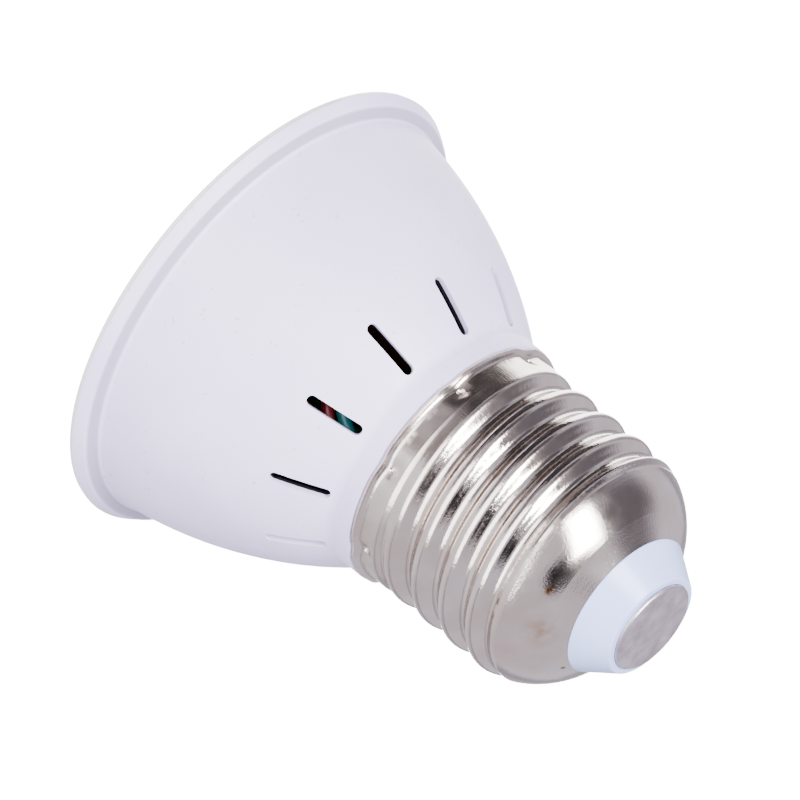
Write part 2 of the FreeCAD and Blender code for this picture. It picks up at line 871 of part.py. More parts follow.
def resistor_lead_heights(bottom, length):
    """Gives the heights at which a lying resistor's two leads enter the board."""
    return bottom - resistor_lead_length, bottom + length + resistor_lead_length


def resistor(diameter, length, side, bottom, face_side, gap):
    """Makes a lying resistor whose body swells over its two end caps."""
    radius = diameter / 2
    face = driver_face if face_side < 0 else driver_back
    level = face + face_side * (gap + radius + resistor_end_swell)
    cap = resistor_cap_length
    waist = resistor_end_swell
    top = bottom + length
    edges = run(
        Vector(0, 0, bottom),
        Vector(radius, 0, bottom),
        Vector(radius + waist, 0, bottom + waist),
        Vector(radius + waist, 0, bottom + cap),
        Vector(radius, 0, bottom + cap + 2 * waist),
        Vector(radius, 0, top - cap - 2 * waist),
        Vector(radius + waist, 0, top - cap),
        Vector(radius + waist, 0, top - waist),
        Vector(radius, 0, top),
        Vector(0, 0, top),
        Vector(0, 0, bottom),
    )
    body = turned(edges)
    body.translate(Vector(level, side, 0))
    low, high = resistor_lead_heights(bottom, length)
    leads = [bent_lead(level, side, bottom + lead_radius, -1, low, -face_side)]
    leads.append(bent_lead(level, side, top - lead_radius, 1, high, -face_side))
    return body.fuse(leads).removeSplitter()


def fuse_sleeve():
    """Makes the shrink sleeve over the fusible resistor."""
    inner = fuse_diameter / 2 + resistor_end_swell + sleeve_gap
    outer = inner + sleeve_wall
    level = driver_face - (part_stand_off + sleeve_wall + fuse_diameter / 2 + resistor_end_swell)
    low = fuse_bottom - sleeve_overhang / 4
    length = fuse_length + sleeve_overhang / 2
    place = Vector(level, fuse_side, low)
    return Part.makeCylinder(outer, length, place).cut(Part.makeCylinder(inner, length, place))


def wire_routes():
    """Gives the four wires' routes, each a list of points chosen by hand, and their bare ends."""
    bend = ledge_height + led_wire_rise
    wall_room = bowl_edges(cup_wall)[2](bend).x - led_wire_wall_gap
    ledge_room = pocket_radius - board_ledge_width - led_wire_ledge_gap
    reach = min(wall_room, ledge_room)
    side = reach * led_wire_side_share
    minus_place = -math.sqrt(reach ** 2 - side ** 2)
    plus_place = minus_place + led_wire_spacing
    neck_side = neck_radius - led_wire_neck_gap
    front_end = driver_face - lead_tail
    back_end = driver_back + lead_tail
    plus = [
        Vector(plus_place, -side, ledge_height),
        Vector(plus_place, -side, bend),
        Vector(2.9, -neck_side, collar_height - 6.1),
        Vector(5.2, -8.6, collar_height - 1.6),
        Vector(5.2, -5.4, driver_top - 12.0),
        Vector(front_end, -5.4, driver_top - 12.0),
    ]
    minus = [
        Vector(minus_place, -side, ledge_height),
        Vector(minus_place, -side, bend),
        Vector(1.2, -neck_side, collar_height - 5.5),
        Vector(3.2, -9.9, collar_height - 0.6),
        Vector(5.0, -7.6, driver_top - 9.0),
        Vector(front_end, -7.6, driver_top - 9.0),
    ]
    live = [
        Vector(front_end, 3.0, driver_top - 2.2),
        Vector(4.9, 3.0, driver_top - 2.2),
        Vector(4.6, 2.6, driver_top + 1.4),
        Vector(0.0, 0.0, driver_top + 3.2),
        Vector(0.0, 0.0, bulb_length - contact_thickness - shank_length + wire_end_rise),
    ]
    neutral = [
        Vector(back_end, -1.0, driver_top - 2.2),
        Vector(-2.4, -1.0, driver_top - 2.2),
        Vector(-3.4, -0.6, driver_top + 2.4),
        Vector(-8.6, 0.0, driver_top + 3.0),
        Vector(-groove_centre, 0.0, driver_top + 1.2),
        Vector(-groove_centre, 0.0, driver_top - 4.5),
    ]
    return {
        "led_positive_wire": (plus, strip_length, board_strip_length),
        "led_negative_wire": (minus, strip_length, board_strip_length),
        "live_wire": (live, board_strip_length, contact_strip_length),
        "neutral_wire": (neutral, board_strip_length, groove_strip_length),
    }


def driver_holes():
    """Lists each lead that goes through the driver board: side, height, radius and soldered face."""
    holes = []
    for height in film_lead_heights():
        holes.append((0.0, height, lead_radius, 1))
    for side in drum_lead_sides():
        holes.append((side, drum_lead_height(), lead_radius, -1))
    for side, bottom, length, face in (
        (fuse_side, fuse_bottom, fuse_length, 1),
        (bleeder_side, bleeder_bottom, bleeder_length, 1),
        (discharger_side, discharger_bottom, bleeder_length, -1),
    ):
        for height in resistor_lead_heights(bottom, length):
            holes.append((side, height, lead_radius, face))
    for name, route in wire_routes().items():
        points = route[0]
        entry = points[0] if name in ("live_wire", "neutral_wire") else points[-1]
        face = 1 if entry.x > driver_offset else -1
        holes.append((entry.y, entry.z, strand_radius, face))
    return holes


def driver_board():
    """Makes the upright driver board with a hole for each lead."""
    board = Part.makeBox(driver_thickness, driver_width, driver_top - driver_bottom,
                         Vector(driver_face, -driver_width / 2, driver_bottom))
    drills = []
    for side, height, radius, face in driver_holes():
        drills.append(Part.makeCylinder(radius + driver_hole_gap, driver_thickness,
                                        Vector(driver_face, side, height), Vector(1, 0, 0)))
    return board.cut(drills)


def solder_cone(radius, place, heading):
    """Makes a solder fillet around a lead."""
    cone = Part.makeCone(joint_base_radius, joint_tip_radius, joint_height, place, heading)
    return cone.cut(Part.makeCylinder(radius + joint_gap, joint_height, place, heading))


def driver_board_joints():
    """Makes the solder joints on both faces of the driver board."""
    joints = []
    for side, height, radius, face in driver_holes():
        start = driver_back if face > 0 else driver_face
        joints.append(solder_cone(radius, Vector(start, side, height), Vector(face, 0, 0)))
    return Part.makeCompound(joints)


def led_board_joints():
    """Makes the two solder joints on the LED board's back."""
    joints = []
    for name in ("led_positive_wire", "led_negative_wire"):
        joints.append(solder_cone(strand_radius, wire_routes()[name][0][0], AXIS))
    return Part.makeCompound(joints)


def build():
    """Builds every piece and writes one file for each."""
    red_leds, blue_leds = led_groups()
    pieces = {
        "lamp_cup": lamp_cup(),
        "screw_cap_shell": screw_cap_shell(),
        "cap_insulator": cap_insulator(),
        "centre_contact": centre_contact(),
        "front_cover": front_cover(),
        "led_board": led_board(),
        "red_leds": red_leds,
        "blue_leds": blue_leds,
        "driver_board": driver_board(),
        "film_capacitor": film_capacitor(),
        "smoothing_capacitor": smoothing_capacitor(),
        "bridge_rectifier": bridge_rectifier(),
        "fuse_resistor": resistor(fuse_diameter, fuse_length, fuse_side, fuse_bottom, -1,
                                  part_stand_off + sleeve_wall),
        "fuse_sleeve": fuse_sleeve(),
        "bleed_resistor": resistor(bleeder_diameter, bleeder_length, bleeder_side, bleeder_bottom, -1,
                                   part_stand_off),
        "discharge_resistor": resistor(bleeder_diameter, bleeder_length, discharger_side,
                                       discharger_bottom, 1, part_stand_off),
        "driver_board_joints": driver_board_joints(),
        "led_board_joints": led_board_joints(),
    }
    for name, (points, bare_start, bare_end) in wire_routes().items():
        pieces[name] = stripped_wire(points, bare_start, bare_end)
    os.makedirs("parts", exist_ok=True)
    for name, shape in pieces.items():
        shape.exportStep("parts/" + name + ".step")


build()
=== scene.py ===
"""Looks of a small cup-shaped LED grow light bulb with a screw cap.

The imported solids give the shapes. This script gives each of them its material and adds the
pieces that are too fine for them: the LEDs' resin windows, chips and solder fillets, and the
board's copper tracks.
"""

import logging
import math
from collections.abc import Sequence
from dataclasses import dataclass
from enum import Enum
from typing import ClassVar

import bmesh
import bpy
from mathutils import Matrix, Vector

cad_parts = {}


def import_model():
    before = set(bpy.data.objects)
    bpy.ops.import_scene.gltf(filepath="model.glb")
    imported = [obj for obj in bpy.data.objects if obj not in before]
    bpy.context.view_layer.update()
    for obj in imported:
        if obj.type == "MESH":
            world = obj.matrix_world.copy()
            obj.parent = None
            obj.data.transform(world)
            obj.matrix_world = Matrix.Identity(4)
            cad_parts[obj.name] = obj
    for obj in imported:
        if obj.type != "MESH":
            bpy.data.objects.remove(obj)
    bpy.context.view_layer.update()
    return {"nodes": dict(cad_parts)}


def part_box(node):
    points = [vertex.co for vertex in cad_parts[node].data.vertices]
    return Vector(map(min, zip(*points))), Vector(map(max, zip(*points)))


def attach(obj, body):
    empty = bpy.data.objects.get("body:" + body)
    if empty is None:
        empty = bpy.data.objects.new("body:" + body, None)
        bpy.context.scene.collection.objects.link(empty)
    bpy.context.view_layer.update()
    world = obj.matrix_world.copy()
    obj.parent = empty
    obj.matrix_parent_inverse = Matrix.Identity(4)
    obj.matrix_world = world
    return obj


LOG = logging.getLogger("bulb")
MM = 0.001
SAME_POINT = 1e-7
# The mix node's two colour inputs and its colour output.
MIX_COLOURS = (6, 7, 2)
Colour = tuple[float, float, float, float]
Point = tuple[float, float, float]


def linear(code: str) -> Colour:
    """Turns an sRGB hex colour into linear values.

    Args:
        code: Six hex digits after a hash.

    Returns:
        Red, green, blue and an alpha of one.
    """
    channels = [int(code[i : i + 2], 16) / 255 for i in (1, 3, 5)]
    red, green, blue = (c / 12.92 if c <= 0.04045 else ((c + 0.055) / 1.055) ** 2.4 for c in channels)
    return (red, green, blue, 1.0)


def per_metre(size_mm: float) -> float:
    """Turns the size of one feature in millimetres into a texture scale."""
    return 1.0 / (size_mm * MM)


def heading(azimuth: float, elevation: float) -> Vector:
    """Turns an azimuth from the X axis and an elevation, in degrees, into a direction."""
    a, e = math.radians(azimuth), math.radians(elevation)
    return Vector((math.cos(a) * math.cos(e), math.sin(a) * math.cos(e), math.sin(e)))


class Graph:
    """A node tree that is filled step by step."""

    def __init__(self, tree: bpy.types.NodeTree) -> None:
        """Starts on a tree."""
        self.tree = tree

    def add(
        self, kind: str, inputs: dict[str | int, object], out: str | int = 0, **settings: object
    ) -> bpy.types.NodeSocket:
        """Adds a node with its settings and links.

        Args:
            kind: The node's type.
            inputs: Socket names or numbers, each with a value or with an output to link.
            out: The name or number of the output that is wanted.
            settings: The node's own attributes.

        Returns:
            The wanted output.
        """
        node = self.tree.nodes.new(kind)
        for key, value in settings.items():
            setattr(node, key, value)
        for key, value in inputs.items():
            if isinstance(value, bpy.types.NodeSocket):
                self.tree.links.new(value, node.inputs[key])
            else:
                node.inputs[key].default_value = value
        return node.outputs[out]


class Surface(Graph):
    """A material under construction: its graph, its shader and its object coordinates."""

    def __init__(self, name: str, sockets: dict[str, object]) -> None:
        """Starts a material.

        Args:
            name: The material's name.
            sockets: The shader sockets that are the same all over, with their values.
        """
        self.material = bpy.data.materials.new(name)
        self.material.use_nodes = True
        super().__init__(self.material.node_tree)
        self.shader = self.tree.nodes["Principled BSDF"]
        for socket, value in sockets.items():
            self.shader.inputs[socket].default_value = value
        self.place = self.add("ShaderNodeTexCoord", {}, "Object")

    def radius(self) -> bpy.types.NodeSocket:
        """Gives the distance from the bulb's axis."""
        flat = self.add("ShaderNodeVectorMath", {0: self.place, 1: (1, 1, 0)}, operation="MULTIPLY")
        return self.add("ShaderNodeVectorMath", {0: flat}, "Value", operation="LENGTH")

    def height(self) -> bpy.types.NodeSocket:
        """Gives the height above the bulb's front face."""
        return self.add("ShaderNodeSeparateXYZ", {"Vector": self.place}, "Z")

    def finish(self, outputs: dict[str, bpy.types.NodeSocket]) -> bpy.types.Material:
        """Links outputs to the shader.

        Args:
            outputs: The shader sockets that vary, with the outputs that drive them.

        Returns:
            The finished material.
        """
        for socket, output in outputs.items():
            self.tree.links.new(output, self.shader.inputs[socket])
        return self.material


@dataclass(frozen=True)
class EvenFinish:
    """A finish that is much the same all over: a cloudy tone, a fine relief and an uneven gloss."""

    name: str
    colour: str
    shade: str
    roughness: float
    grain_mm: float
    relief_mm: float
    spread: float = 0.18
    grains_in_cloud: ClassVar[float] = 6.0
    sockets: ClassVar[dict[str, object]] = {"IOR": 1.5}

    def patterns(self, surface: Surface) -> dict[str, bpy.types.NodeSocket]:
        """Draws the finish's patterns, whose clouds are several times as large as its grain.

        Args:
            surface: The material under construction.

        Returns:
            What goes into each of the shader's sockets.
        """
        place = surface.place
        wide = per_metre(self.grains_in_cloud * self.grain_mm)
        cloud = surface.add("ShaderNodeTexNoise", {"Vector": place, "Scale": wide, "Detail": 4.0})
        share = surface.add("ShaderNodeMapRange", {"Value": cloud, "From Min": 0.32, "From Max": 0.68})
        low, high, mixed = MIX_COLOURS
        tone = surface.add(
            "ShaderNodeMix",
            {"Factor": share, low: linear(self.colour), high: linear(self.shade)},
            mixed,
            data_type="RGBA",
        )
        fine = per_metre(self.grain_mm)
        grain = surface.add("ShaderNodeTexNoise", {"Vector": place, "Scale": fine, "Detail": 2.0})
        relief = surface.add("ShaderNodeBump", {"Height": grain, "Distance": self.relief_mm * MM})
        rough = surface.add(
            "ShaderNodeMapRange",
            {
                "Value": cloud,
                "From Min": 0.3,
                "From Max": 0.7,
                "To Min": self.roughness * (1 - self.spread),
                "To Max": min(1.0, self.roughness * (1 + self.spread)),
            },
        )
        return {"Base Color": tone, "Normal": relief, "Roughness": rough}

    def make(self) -> bpy.types.Material:
        """Makes the material."""
        surface = Surface(self.name, self.sockets)
        return surface.finish(self.patterns(surface))


@dataclass(frozen=True)
class Moulding(EvenFinish):
    """Moulded thermoplastic: light goes a little way into it, which softens its edges."""

    sockets: ClassVar[dict[str, object]] = {
        "IOR": 1.5,
        "Subsurface Weight": 0.1,
        "Subsurface Radius": (0.8, 0.9, 1.0),
        "Subsurface Scale": 0.001,
    }


@dataclass(frozen=True)
class Metal(EvenFinish):
    """Plain metal, turned, drawn or reflowed: its grain breaks the reflections up."""

    sockets: ClassVar[dict[str, object]] = {"Metallic": 1.0}


@dataclass(frozen=True)
class Gloss(EvenFinish):
    """A wet-looking dip, lacquer or potting: a clear skin lies over the coloured body."""

    sockets: ClassVar[dict[str, object]] = {"IOR": 1.5, "Coat Weight": 0.5, "Coat Roughness": 0.08}


@dataclass(frozen=True)
class Clear(EvenFinish):
    """Clear polished plastic: what lies behind it shows through, but its outer edge is frosted."""

    frosted_from_mm: float = 23.6
    frost_fade_mm: float = 0.2
    edge_transmission: float = 0.15
    sockets: ClassVar[dict[str, object]] = {"IOR": 1.58}

    def patterns(self, surface: Surface) -> dict[str, bpy.types.NodeSocket]:
        """Draws the patterns, with a transmission that falls off at the edge.

        Args:
            surface: The material under construction.

        Returns:
            What goes into each of the shader's sockets.
        """
        edge = self.frosted_from_mm * MM
        clear = surface.add(
            "ShaderNodeMapRange",
            {
                "Value": surface.radius(),
                "From Min": edge,
                "From Max": edge + self.frost_fade_mm * MM,
                "To Min": 1.0,
                "To Max": self.edge_transmission,
            },
        )
        return super().patterns(surface) | {"Transmission Weight": clear}


@dataclass(frozen=True)
class MouldedCup:
    """White ABS, injection moulded in a finely blasted tool: an even soft sheen, cool in tone.

    The inside is given a dark tone, painted shade where little light gets in, so the vents show black.
    """

    colour: str = "#e2d8fd"
    shade: str = "#dad0fa"
    speck: str = "#b5b0b4"
    # Painted shade: the dark tone of the cup's inside.
    inside: str = "#1d1c20"
    grain_mm: float = 0.18
    grain_depth_mm: float = 0.0035
    wave_mm: float = 9.0
    wave_depth_mm: float = 0.05
    dust_mm: float = 0.45
    scratch_mm: float = 2.4
    scratch_depth_mm: float = 0.006
    scratch_stretch: Point = (0.22, 7.0, 1.6)
    gloss_mm: float = 3.0
    smoothest: float = 0.38
    roughest: float = 0.47
    # The bowl's outer skin is an arc about this point, beyond the axis, and X is the radius here.
    bowl_centre_mm: Point = (-23.84, 0.0, -3.95)
    skin_radius_mm: float = 46.45
    ledge_mm: float = 5.5
    # Painted shade along the step between the rim and the bowl.
    painted_step_shade: str = "#968fa4"
    painted_step_shade_from_mm: float = 1.6
    painted_step_shade_to_mm: float = 2.3
    painted_step_shade_core: float = 0.4
    painted_step_shade_weight: float = 0.8

    def depth(self, surface: Surface) -> bpy.types.NodeSocket:
        """Tells the cup's inside, which gets the painted shade, from its outside.

        Args:
            surface: The material under construction.

        Returns:
            One below the bowl's outer skin and above the board's ledge, otherwise nought.
        """
        height = surface.height()
        profile = surface.add("ShaderNodeCombineXYZ", {"X": surface.radius(), "Z": height})
        centre = tuple(value * MM for value in self.bowl_centre_mm)
        reach = surface.add("ShaderNodeVectorMath", {0: profile, 1: centre}, "Value", operation="DISTANCE")
        edge = self.skin_radius_mm * MM
        below = surface.add("ShaderNodeMath", {0: reach, 1: edge}, operation="LESS_THAN")
        above = surface.add("ShaderNodeMath", {0: height, 1: self.ledge_mm * MM}, operation="GREATER_THAN")
        return surface.add("ShaderNodeMath", {0: below, 1: above}, operation="MULTIPLY")

    def make(self) -> bpy.types.Material:
        """Makes the material.

        Returns:
            The material, with clouds, dust specks, hairline scratches, the tool's fine grain and painted
            shade inside and in the step by the rim.
        """
        surface = Surface(
            "ABS_white_moulded",
            {
                "IOR": 1.53,
                "Subsurface Weight": 0.12,
                "Subsurface Radius": (1.0, 0.9, 0.9),
                "Subsurface Scale": 0.0012,
            },
        )
        place = surface.place
        low, high, mixed = MIX_COLOURS
        long = per_metre(self.wave_mm)
        wave = surface.add("ShaderNodeTexNoise", {"Vector": place, "Scale": long, "Detail": 1.0})
        share = surface.add("ShaderNodeMapRange", {"Value": wave, "From Min": 0.35, "From Max": 0.7})
        tone = surface.add(
            "ShaderNodeMix",
            {"Factor": share, low: linear(self.colour), high: linear(self.shade)},
            mixed,
            data_type="RGBA",
        )
        # Dust specks, drawn a little larger than a tenth of a millimetre so that they show.
        small = per_metre(self.dust_mm)
        dust = surface.add("ShaderNodeTexNoise", {"Vector": place, "Scale": small, "Detail": 0.0})
        speck = surface.add(
            "ShaderNodeMapRange", {"Value": dust, "From Min": 0.80, "From Max": 0.83, "To Max": 0.6}
        )
        tone = surface.add(
            "ShaderNodeMix", {"Factor": speck, low: tone, high: linear(self.speck)}, mixed, data_type="RGBA"
        )
        # Painted shade: the inside is drawn dark, as if no light reached it.
        tone = surface.add(
            "ShaderNodeMix",
            {"Factor": self.depth(surface), low: tone, high: linear(self.inside)},
            mixed,
            data_type="RGBA",
        )
        # Painted shade: the step between the rim and the bowl holds a soft grey line.
        middle = (self.painted_step_shade_from_mm + self.painted_step_shade_to_mm) / 2 * MM
        away = surface.add("ShaderNodeMath", {0: surface.height(), 1: middle}, operation="SUBTRACT")
        away = surface.add("ShaderNodeMath", {0: away}, operation="ABSOLUTE")
        half = (self.painted_step_shade_to_mm - self.painted_step_shade_from_mm) / 2 * MM
        painted_step_shade_line = surface.add(
            "ShaderNodeMapRange",
            {
                "Value": away,
                "From Min": self.painted_step_shade_core * half,
                "From Max": half,
                "To Min": self.painted_step_shade_weight,
                "To Max": 0.0,
            },
            interpolation_type="SMOOTHSTEP",
        )
        tone = surface.add(
            "ShaderNodeMix", {"Factor": painted_step_shade_line, low: tone, high: linear(self.painted_step_shade)}, mixed, data_type="RGBA"
        )
        fine = per_metre(self.grain_mm)
        grain = surface.add("ShaderNodeTexNoise", {"Vector": place, "Scale": fine, "Detail": 3.0})
        relief = surface.add("ShaderNodeBump", {"Height": grain, "Distance": self.grain_depth_mm * MM})
        # Hairline scratches, a few millimetres long.
        drawn = surface.add("ShaderNodeMapping", {"Vector": place, "Scale": self.scratch_stretch})
        thin = per_metre(self.scratch_mm)
        hair = surface.add("ShaderNodeTexNoise", {"Vector": drawn, "Scale": thin, "Detail": 0.0})
        scratch = surface.add("ShaderNodeMapRange", {"Value": hair, "From Min": 0.735, "From Max": 0.75})
        for height, depth_mm in ((scratch, -self.scratch_depth_mm), (wave, self.wave_depth_mm)):
            depth = depth_mm * MM
            relief = surface.add("ShaderNodeBump", {"Height": height, "Distance": depth, "Normal": relief})
        patch = per_metre(self.gloss_mm)
        patchy = surface.add("ShaderNodeTexNoise", {"Vector": place, "Scale": patch, "Detail": 4.0})
        rough = surface.add(
            "ShaderNodeMapRange",
            {
                "Value": patchy,
                "From Min": 0.3,
                "From Max": 0.7,
                "To Min": self.smoothest,
                "To Max": self.roughest,
            },
        )
        return surface.finish({"Base Color": tone, "Normal": relief, "Roughness": rough})


@dataclass(frozen=True)
class Mark:
    """A stain on the plating, as the photograph shows it."""

    point_mm: Point
    reach_mm: float
    colour: str
    weight: float
    fleck_share: ClassVar[float] = 0.6

    def lay(self, surface: Surface, below: bpy.types.NodeSocket) -> bpy.types.NodeSocket:
        """Lays the stain over the tone so far.

        Args:
            surface: The material under construction.
            below: The tone so far.

        Returns:
            The tone with the stain, which breaks up towards its edge.
        """
        point = tuple(value * MM for value in self.point_mm)
        gap = surface.add("ShaderNodeVectorMath", {0: surface.place, 1: point}, "Value", operation="DISTANCE")
        near = surface.add(
            "ShaderNodeMapRange",
            {
                "Value": gap,
                "From Min": 0.0,
                "From Max": self.reach_mm * MM,
                "To Min": self.weight,
                "To Max": 0.0,
            },
        )
        size = per_metre(self.fleck_share * self.reach_mm)
        broken = surface.add("ShaderNodeTexNoise", {"Vector": surface.place, "Scale": size, "Detail": 4.0})
        share = surface.add("ShaderNodeMapRange", {"Value": broken, "From Min": 0.36, "From Max": 0.6})
        cover = surface.add("ShaderNodeMath", {0: near, 1: share}, operation="MULTIPLY", use_clamp=True)
        low, high, mixed = MIX_COLOURS
        return surface.add(
            "ShaderNodeMix", {"Factor": cover, low: below, high: linear(self.colour)}, mixed, data_type="RGBA"
        )


@dataclass(frozen=True)
class NickelPlate:
    """Thin sheet, drawn, rolled and barrel plated with nickel: a bright mirror with fine roll lines.

    The thread and the crown mirror the studio sharply, and the skirt mirrors it softly.
    """

    colour: str = "#d6cdc7"
    warm: str = "#c8bbb0"
    cloud_mm: float = 4.0
    grain_mm: float = 0.16
    grain_depth_mm: float = 0.011
    grain_stretch: Point = (1.0, 1.0, 0.12)
    line_mm: float = 0.35
    line_depth_mm: float = 0.007
    line_stretch: Point = (0.04, 0.04, 1.6)
    buckle_mm: float = 3.2
    buckle_depth_mm: float = 0.018
    gloss_mm: float = 1.6
    smoothest: float = 0.09
    roughest: float = 0.17
    satin_to_mm: float = 33.0
    satin_fade_mm: float = 3.0
    satin: float = 0.1
    marks: tuple[Mark, ...] = (
        Mark((1.0, -10.6, 47.7), 0.75, "#7d5418", 1.8),
        Mark((5.0, -8.5, 48.4), 2.4, "#b3977a", 0.9),
        Mark((7.8, -2.7, 49.6), 0.4, "#57472f", 1.6),
        Mark((8.8, -7.9, 46.2), 3.0, "#c9b4ae", 0.8),
    )

    def make(self) -> bpy.types.Material:
        """Makes the material.

        Returns:
            The material, with stains, roll lines round the cap and a grain drawn out along its axis.
        """
        surface = Surface("nickel_plated_sheet", {"Metallic": 1.0})
        place = surface.place
        low, high, mixed = MIX_COLOURS
        wide = per_metre(self.cloud_mm)
        cloud = surface.add("ShaderNodeTexNoise", {"Vector": place, "Scale": wide, "Detail": 2.0})
        share = surface.add("ShaderNodeMapRange", {"Value": cloud, "From Min": 0.3, "From Max": 0.7})
        tone = surface.add(
            "ShaderNodeMix",
            {"Factor": share, low: linear(self.colour), high: linear(self.warm)},
            mixed,
            data_type="RGBA",
        )
        for mark in self.marks:
            tone = mark.lay(surface, tone)
        # The grain breaks the edges of the reflections into short streaks along the axis.
        along = surface.add("ShaderNodeMapping", {"Vector": place, "Scale": self.grain_stretch})
        fine = per_metre(self.grain_mm)
        grain = surface.add("ShaderNodeTexNoise", {"Vector": along, "Scale": fine, "Detail": 2.0})
        relief = surface.add("ShaderNodeBump", {"Height": grain, "Distance": self.grain_depth_mm * MM})
        # Roll lines run round the cap: close together along the axis, long around it.
        turned = surface.add("ShaderNodeMapping", {"Vector": place, "Scale": self.line_stretch})
        close = per_metre(self.line_mm)
        lines = surface.add("ShaderNodeTexNoise", {"Vector": turned, "Scale": close, "Detail": 3.0})
        # The thin sheet is a little uneven, so that straight reflections waver.
        long = per_metre(self.buckle_mm)
        buckle = surface.add("ShaderNodeTexNoise", {"Vector": place, "Scale": long, "Detail": 1.0})
        for height, depth_mm in ((lines, self.line_depth_mm), (buckle, self.buckle_depth_mm)):
            depth = depth_mm * MM
            relief = surface.add("ShaderNodeBump", {"Height": height, "Distance": depth, "Normal": relief})
        patch = per_metre(self.gloss_mm)
        patchy = surface.add("ShaderNodeTexNoise", {"Vector": place, "Scale": patch, "Detail": 4.0})
        rough = surface.add(
            "ShaderNodeMapRange",
            {
                "Value": patchy,
                "From Min": 0.3,
                "From Max": 0.72,
                "To Min": self.smoothest,
                "To Max": self.roughest,
            },
        )
        # Rolling the thread polished it, and the skirt kept the satin of the drawn sheet.
        satin = surface.add(
            "ShaderNodeMapRange",
            {
                "Value": surface.height(),
                "From Min": (self.satin_to_mm - self.satin_fade_mm) * MM,
                "From Max": self.satin_to_mm * MM,
                "To Min": self.satin,
                "To Max": 0.0,
            },
        )
        rough = surface.add("ShaderNodeMath", {0: rough, 1: satin}, operation="ADD")
        return surface.finish({"Base Color": tone, "Normal": relief, "Roughness": rough})


@dataclass(frozen=True)
class GlassLaminate:
    """Woven glass laminate under a green mask: the weave shows as a faint grid."""

    colour: str = "#1d5a35"
    weave: str = "#2a7045"
    thread_mm: float = 0.5
    thread_depth_mm: float = 0.01

    def make(self) -> bpy.types.Material:
        """Makes the material.

        Returns:
            The material, with two crossed sets of threads.
        """
        surface = Surface("glass_laminate_green", {"Roughness": 0.32, "IOR": 1.5, "Coat Weight": 0.3})
        low, high, mixed = MIX_COLOURS
        # One band of a wave texture is a twentieth of its scale's unit.
        bands = per_metre(self.thread_mm) / 20
        waves = [
            surface.add(
                "ShaderNodeTexWave",
                {"Vector": surface.place, "Scale": bands, "Distortion": 0.3},
                "Fac",
                bands_direction=axis,
            )
            for axis in ("Y", "Z")
        ]
        cloth = surface.add("ShaderNodeMath", {0: waves[0], 1: waves[1]}, operation="MULTIPLY")
        tone = surface.add(
            "ShaderNodeMix",
            {"Factor": cloth, low: linear(self.colour), high: linear(self.weave)},
            mixed,
            data_type="RGBA",
        )
        relief = surface.add("ShaderNodeBump", {"Height": cloth, "Distance": self.thread_depth_mm * MM})
        return surface.finish({"Base Color": tone, "Normal": relief})


@dataclass(frozen=True)
class Backdrop:
    """Matt studio paper: pale grey, with a painted pool of light on it behind the bulb, an oval where the
    paper itself glows.
    """

    colour: str = "#bdbabf"
    shade: str = "#b6b3b9"
    cloud_mm: float = 400.0
    painted_glow: float = 16.0
    pool_at: Point = (0.124, 0.561, 0.0)
    pool_turn: float = 74.0
    pool_half: Point = (0.205, 0.088, 1.0)
    pool_fade: float = 1.2

    def make(self) -> bpy.types.Material:
        """Makes the material.

        Returns:
            The material, whose painted pool of light fades at its edge.
        """
        surface = Surface("paper_backdrop_pale", {"Roughness": 0.9, "Specular IOR Level": 0.1})
        low, high, mixed = MIX_COLOURS
        wide = per_metre(self.cloud_mm)
        cloud = surface.add("ShaderNodeTexNoise", {"Vector": surface.place, "Scale": wide, "Detail": 2.0})
        tone = surface.add(
            "ShaderNodeMix",
            {"Factor": cloud, low: linear(self.colour), high: linear(self.shade)},
            mixed,
            data_type="RGBA",
        )
        turn = (0.0, 0.0, math.radians(self.pool_turn))
        inside = surface.add(
            "ShaderNodeMapping",
            {"Vector": surface.place, "Location": self.pool_at, "Rotation": turn, "Scale": self.pool_half},
            vector_type="TEXTURE",
        )
        reach = surface.add("ShaderNodeVectorMath", {0: inside}, "Value", operation="LENGTH")
        # Painted light: the paper glows in the oval, though no lamp shines there.
        painted_glow = surface.add(
            "ShaderNodeMapRange",
            {
                "Value": reach,
                "From Min": 1.0,
                "From Max": self.pool_fade,
                "To Min": self.painted_glow,
                "To Max": 0.0,
            },
            interpolation_type="SMOOTHSTEP",
        )
        surface.shader.inputs["Emission Color"].default_value = (1, 1, 1, 1)
        return surface.finish({"Base Color": tone, "Emission Strength": painted_glow})


